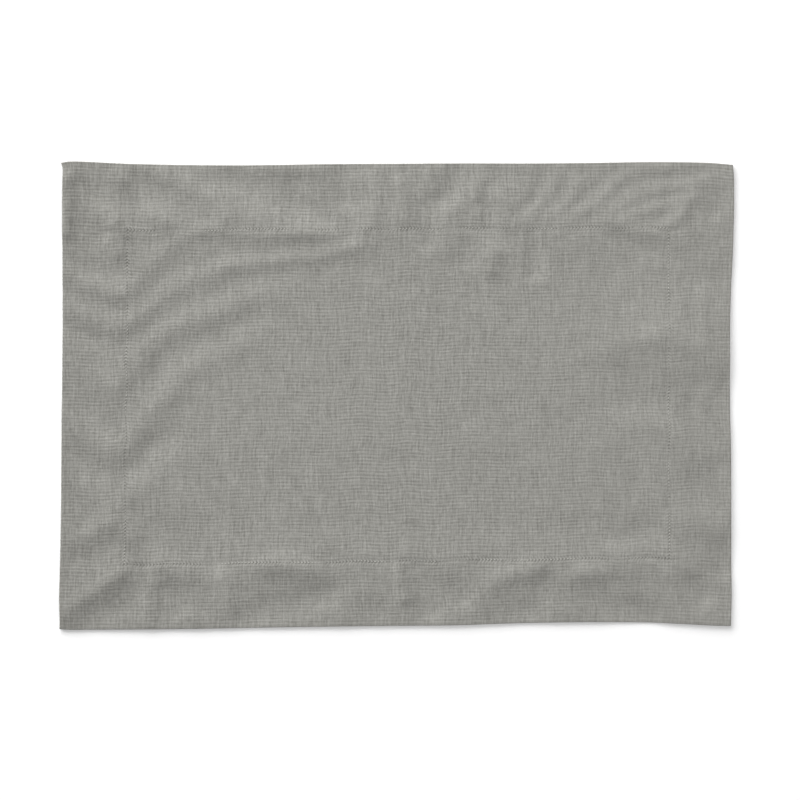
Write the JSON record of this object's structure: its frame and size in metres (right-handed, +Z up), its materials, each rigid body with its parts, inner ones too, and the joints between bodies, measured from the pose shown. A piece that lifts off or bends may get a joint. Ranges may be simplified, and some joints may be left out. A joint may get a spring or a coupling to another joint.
{
  "type": "placemat",
  "caption": "Flat rectangular cloth placemat with a wide mitred hem all round and soft creases on its upper face.",
  "frame": {"origin": "middle of the underside, on the table", "axes": "+X along the long side, +Y towards the far long side, +Z up out of the upper face"},
  "size_m": [0.5094, 0.3536, 0.0032],
  "materials": {
    "slub_cotton": "matt plain-woven slub cotton in warm mid grey, sewn in its own colour"
  },
  "bodies": {
    "root": {"placemat": "slub_cotton"}
  },
  "joints": []
}
